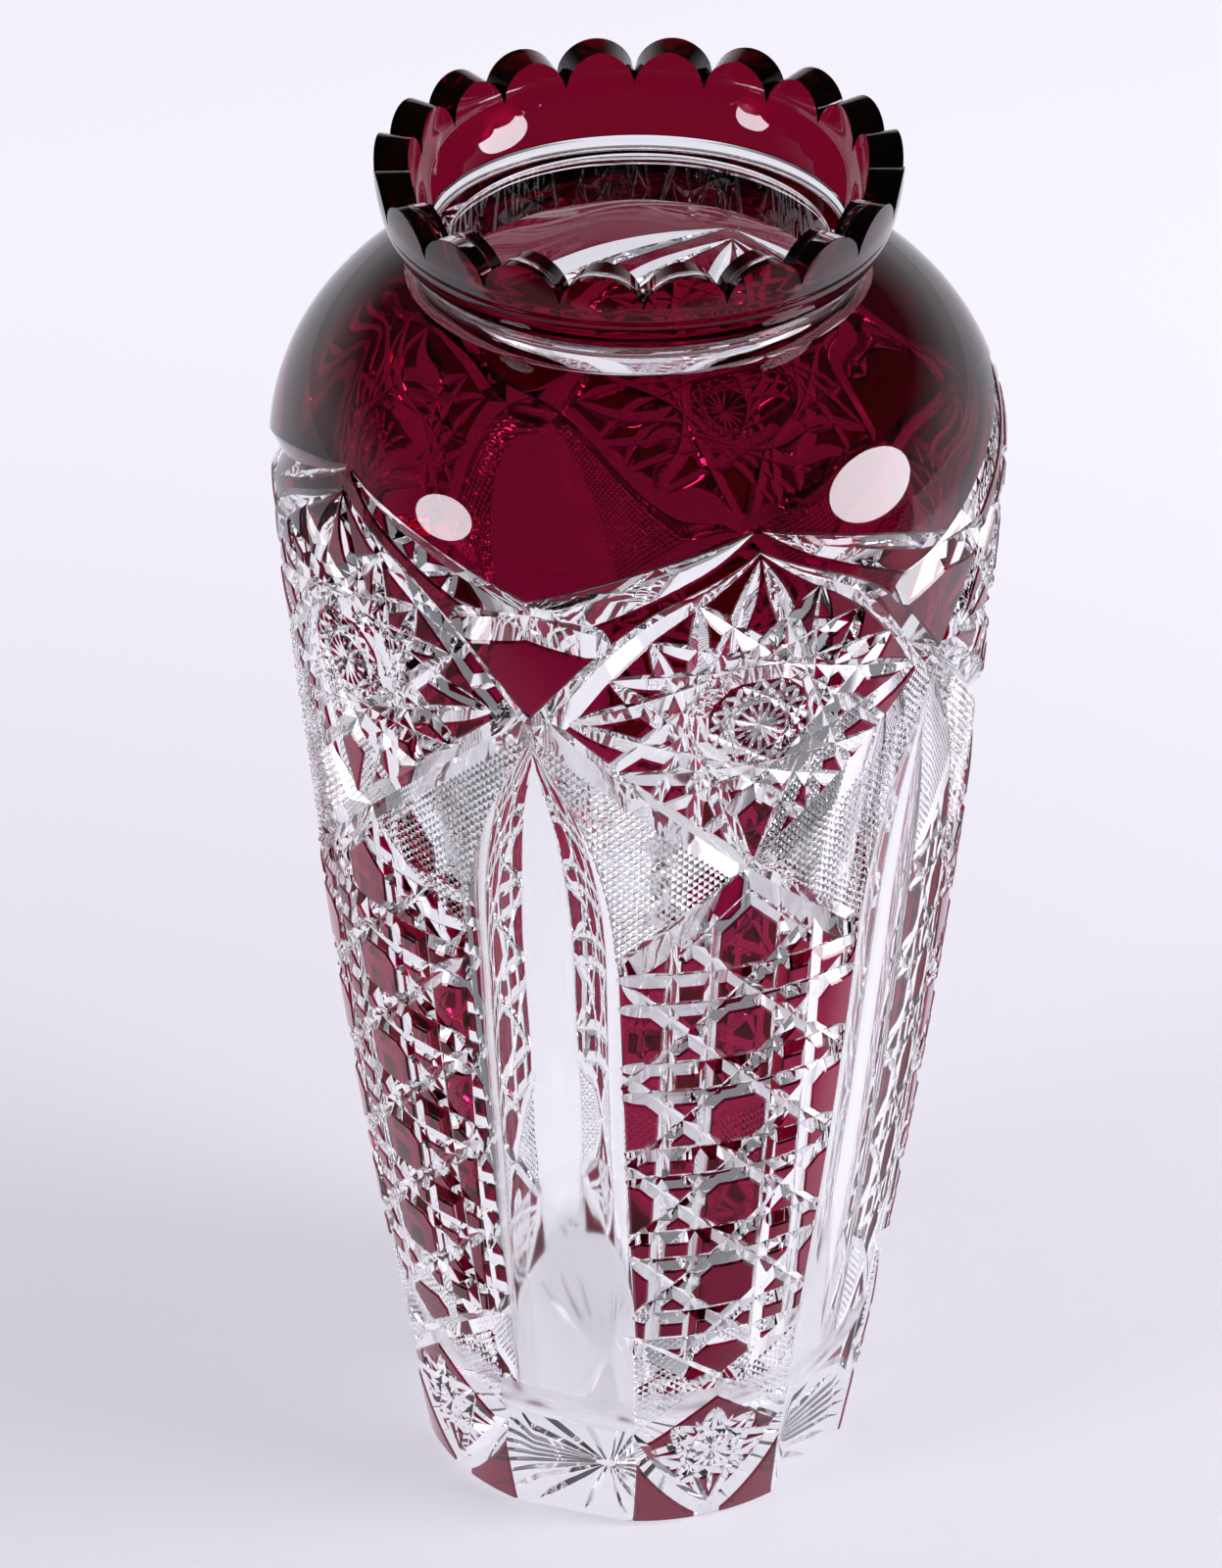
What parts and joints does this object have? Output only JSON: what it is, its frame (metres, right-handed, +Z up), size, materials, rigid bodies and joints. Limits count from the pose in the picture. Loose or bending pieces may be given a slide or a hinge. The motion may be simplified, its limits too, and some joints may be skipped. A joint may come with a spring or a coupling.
{
  "type": "vase",
  "caption": "Tall shouldered cased-glass vase with a flared scalloped rim, its ruby layer cut through to clear crystal in panels between upright flutes.",
  "frame": {"origin": "centre of the base, on the surface that the vase stands on", "axes": "+Z up along the axis of the vase; -Y is the side that the picture shows, with a panel turned a little to +X"},
  "size_m": [0.1743, 0.1725, 0.36],
  "materials": {
    "crystal": "polished",
    "ruby": "polished"
  },
  "bodies": {
    "root": {"crystal_body": "crystal", "neck_casing": "ruby", "shoulder_casing": "ruby", "kite_1": "ruby", "star_top_left_1": "ruby", "foot_corner_left_1": "ruby", "star_top_right_1": "ruby", "foot_corner_right_1": "ruby", "button_1_1": "ruby", "button_1_2": "ruby", "button_1_3": "ruby", "button_1_4": "ruby", "button_1_5": "ruby", "button_1_6": "ruby", "kite_2": "ruby", "star_top_left_2": "ruby", "foot_corner_left_2": "ruby", "star_top_right_2": "ruby", "foot_corner_right_2": "ruby", "button_2_1": "ruby", "button_2_2": "ruby", "button_2_3": "ruby", "button_2_4": "ruby", "button_2_5": "ruby", "button_2_6": "ruby", "kite_3": "ruby", "star_top_left_3": "ruby", "foot_corner_left_3": "ruby", "star_top_right_3": "ruby", "foot_corner_right_3": "ruby", "button_3_1": "ruby", "button_3_2": "ruby", "button_3_3": "ruby", "button_3_4": "ruby", "button_3_5": "ruby", "button_3_6": "ruby", "kite_4": "ruby", "star_top_left_4": "ruby", "foot_corner_left_4": "ruby", "star_top_right_4": "ruby", "foot_corner_right_4": "ruby", "button_4_1": "ruby", "button_4_2": "ruby", "button_4_3": "ruby", "button_4_4": "ruby", "button_4_5": "ruby", "button_4_6": "ruby", "kite_5": "ruby", "star_top_left_5": "ruby", "foot_corner_left_5": "ruby", "star_top_right_5": "ruby", "foot_corner_right_5": "ruby", "button_5_1": "ruby", "button_5_2": "ruby", "button_5_3": "ruby", "button_5_4": "ruby", "button_5_5": "ruby", "button_5_6": "ruby"}
  },
  "joints": []
}
